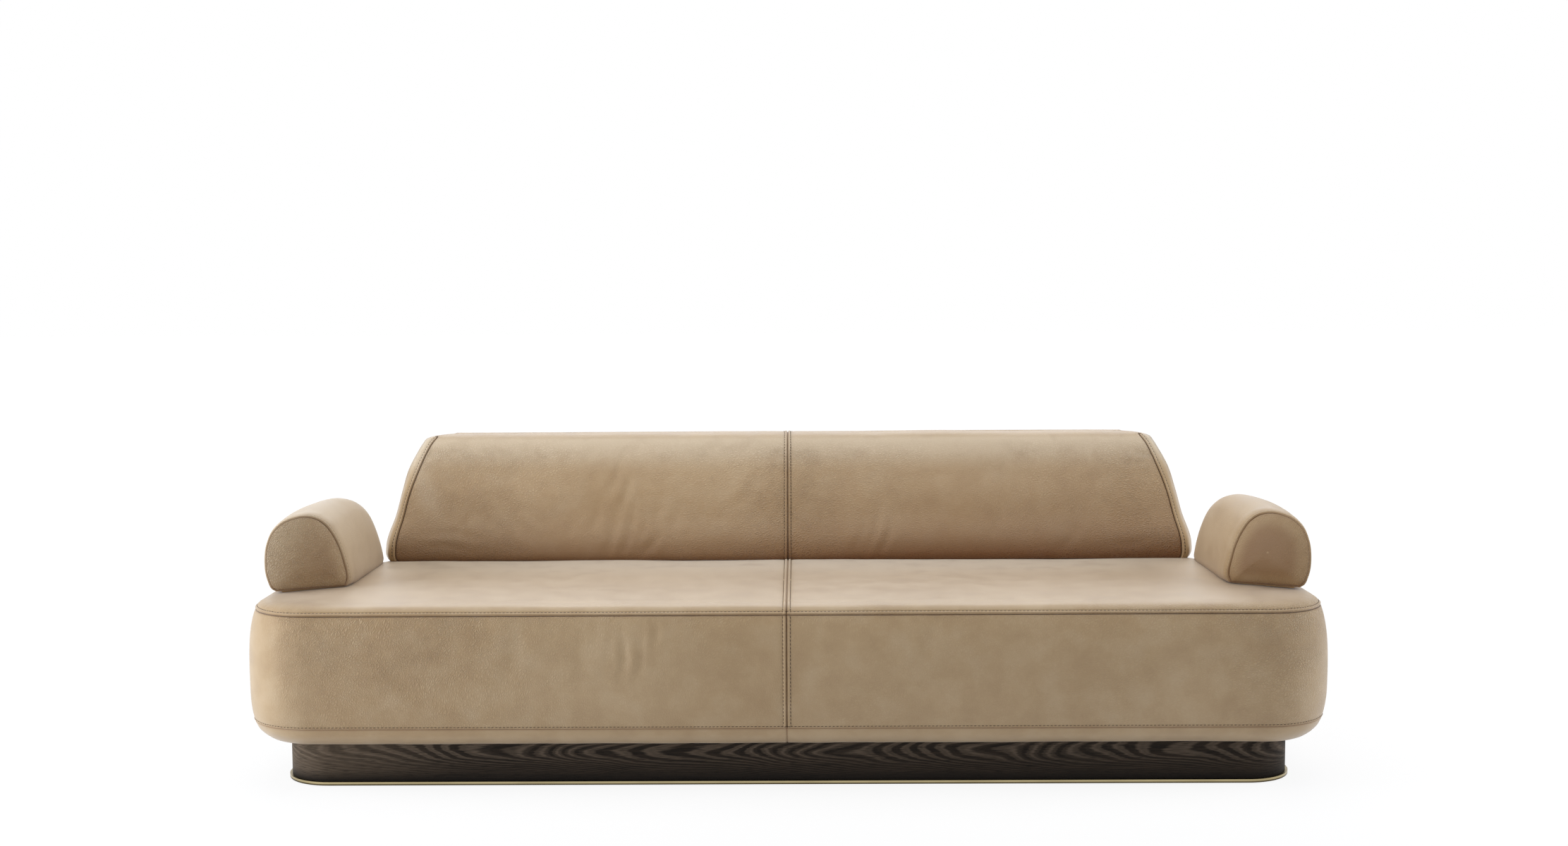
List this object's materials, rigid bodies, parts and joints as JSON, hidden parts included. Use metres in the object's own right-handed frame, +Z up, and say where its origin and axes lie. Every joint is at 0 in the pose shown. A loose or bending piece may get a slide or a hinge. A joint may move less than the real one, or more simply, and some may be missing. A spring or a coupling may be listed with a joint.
{
  "type": "sofa",
  "caption": "Low leather sofa with a deep half-moon seat on a recessed oak plinth with brass trim, a long leaning back bolster and two short arm bolsters.",
  "frame": {"origin": "on the floor, under the centre of the overall width and depth", "axes": "+X to the sitter's left, along the width; -Y towards the front; +Z up"},
  "size_m": [2.5, 0.96, 0.748],
  "materials": {
    "leather": "aniline cowhide, soft sheen, fine natural grain",
    "fumed_oak": "fumed oak veneer on board, matt oiled",
    "brass": "satin brushed",
    "pine": "planed, unfinished",
    "plywood": "sanded, unfinished",
    "foam": "cold-cure polyurethane foam, open cell",
    "webbing": "woven elastic webbing",
    "zinc_steel": "zinc plated",
    "nylon": "moulded nylon"
  },
  "bodies": {
    "root": {"glides": "nylon", "trim_front": "brass", "trim_left": "brass", "trim_right": "brass", "trim_rear": "brass", "plinth_front_board": "fumed_oak", "plinth_corner_left": "fumed_oak", "plinth_corner_right": "fumed_oak", "plinth_side_board_left": "fumed_oak", "plinth_side_board_right": "fumed_oak", "plinth_rear_board": "fumed_oak", "plinth_battens": "pine", "plinth_glue_blocks": "pine", "plinth_bolts": "zinc_steel", "tee_nuts": "zinc_steel", "base_panel": "plywood", "frame_front_rail": "pine", "frame_rear_rail": "pine", "frame_side_rail_left": "plywood", "frame_side_rail_right": "plywood", "frame_cross_rails": "pine", "frame_corner_blocks": "pine", "webbing_lengthwise": "webbing", "webbing_crosswise": "webbing", "seat_foam_pad": "foam", "foam_border_front": "foam", "foam_border_left": "foam", "foam_border_right": "foam", "foam_border_rear": "foam", "seat_top_leather_left": "leather", "seat_top_leather_right": "leather", "seat_side_leather_left": "leather", "seat_side_leather_right": "leather", "under_band_leather_left": "leather", "under_band_leather_right": "leather", "back_foam": "foam", "back_bottom_rail": "pine", "back_top_rail": "pine", "back_ribs": "plywood", "back_closing_panel": "plywood", "back_leather_left": "leather", "back_leather_right": "leather", "back_rear_leather_left": "leather", "back_rear_leather_right": "leather", "arm_base_board_left": "plywood", "arm_base_board_right": "plywood", "arm_foam_left": "foam", "arm_foam_right": "foam", "arm_leather_left": "leather", "arm_leather_right": "leather", "arm_front_panel_left": "leather", "arm_front_panel_right": "leather", "arm_outer_panel_left": "leather", "arm_outer_panel_right": "leather"}
  },
  "joints": []
}
